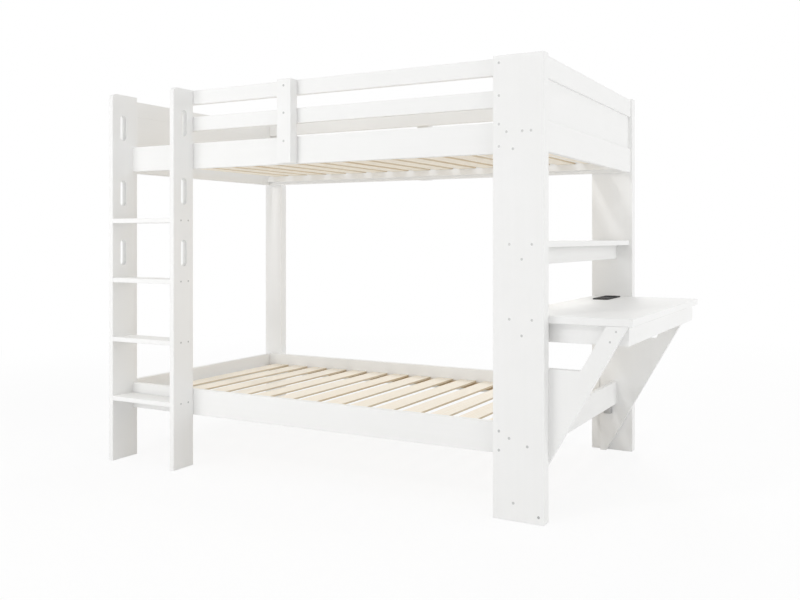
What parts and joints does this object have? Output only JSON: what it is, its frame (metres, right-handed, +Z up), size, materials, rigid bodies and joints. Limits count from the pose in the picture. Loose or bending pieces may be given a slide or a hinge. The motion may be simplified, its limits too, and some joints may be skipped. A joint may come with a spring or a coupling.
{
  "type": "bunk bed with desk",
  "caption": "White two-level bunk bed with slatted bases, a side ladder with hand slots, guard rails, and a desk with a shelf carried on slanted braces at one end.",
  "frame": {"origin": "middle of the bed's outline in plan, on the floor", "axes": "+X along the bed towards the desk end, +Y from the ladder side to the back, +Z up"},
  "size_m": [2.458, 1.114, 1.605],
  "materials": {
    "white_lacquer": "satin white lacquer",
    "pine": "planed bare pine",
    "zinc_steel": "zinc plated",
    "beech": "turned beech",
    "grey_plastic": "moulded",
    "black_plastic": "fine satin texture"
  },
  "bodies": {
    "bed": {"front_right_post": "white_lacquer", "back_right_post": "white_lacquer", "back_left_post": "white_lacquer", "ladder_leg": "white_lacquer", "ladder_stile": "white_lacquer", "step_1": "white_lacquer", "step_2": "white_lacquer", "step_3": "white_lacquer", "step_4": "white_lacquer", "upper_front_side_rail": "white_lacquer", "upper_back_side_rail": "white_lacquer", "front_top_guard_rail": "white_lacquer", "front_middle_guard_rail": "white_lacquer", "back_guard_rail": "white_lacquer", "front_batten": "white_lacquer", "back_batten": "white_lacquer", "left_end_top_rail": "white_lacquer", "left_end_bottom_rail": "white_lacquer", "left_end_panel": "white_lacquer", "left_end_front_stile": "white_lacquer", "left_end_back_stile": "white_lacquer", "right_end_top_rail": "white_lacquer", "right_end_bottom_rail": "white_lacquer", "right_end_panel": "white_lacquer", "lower_front_side_rail": "white_lacquer", "lower_back_side_rail": "white_lacquer", "lower_left_end_rail": "white_lacquer", "lower_right_end_rail": "white_lacquer", "front_brace_panel": "white_lacquer", "back_brace_panel": "white_lacquer", "desk_top": "white_lacquer", "desk_front_apron": "white_lacquer", "desk_back_apron": "white_lacquer", "desk_outer_apron": "white_lacquer", "desk_inner_apron": "white_lacquer", "shelf": "white_lacquer", "shelf_rail": "white_lacquer", "upper_front_ledge": "white_lacquer", "upper_back_ledge": "white_lacquer", "upper_slats": "pine", "lower_slats": "pine", "lower_front_ledge": "pine", "lower_back_ledge": "pine", "post_bolts": "zinc_steel", "batten_bolts": "zinc_steel", "ladder_screws": "zinc_steel", "step_screws": "zinc_steel", "brace_screws": "zinc_steel", "slat_screws": "zinc_steel", "end_dowels": "beech", "rail_dowels": "beech", "ledge_dowels": "beech", "desk_dowels": "beech", "cap_plugs": "grey_plastic", "corner_blocks": "grey_plastic", "outlet_frame": "black_plastic"},
    "lid": {"outlet_lid": "black_plastic", "outlet_hinge_pins": "zinc_steel"}
  },
  "joints": [
    {"name": "outlet_lid_hinge", "type": "hinge", "parent": "bed", "child": "lid", "pos_m": [0.855, 0.3038, 0.709], "axis": [1, 0, 0], "range_deg": [0, 105]}
  ]
}
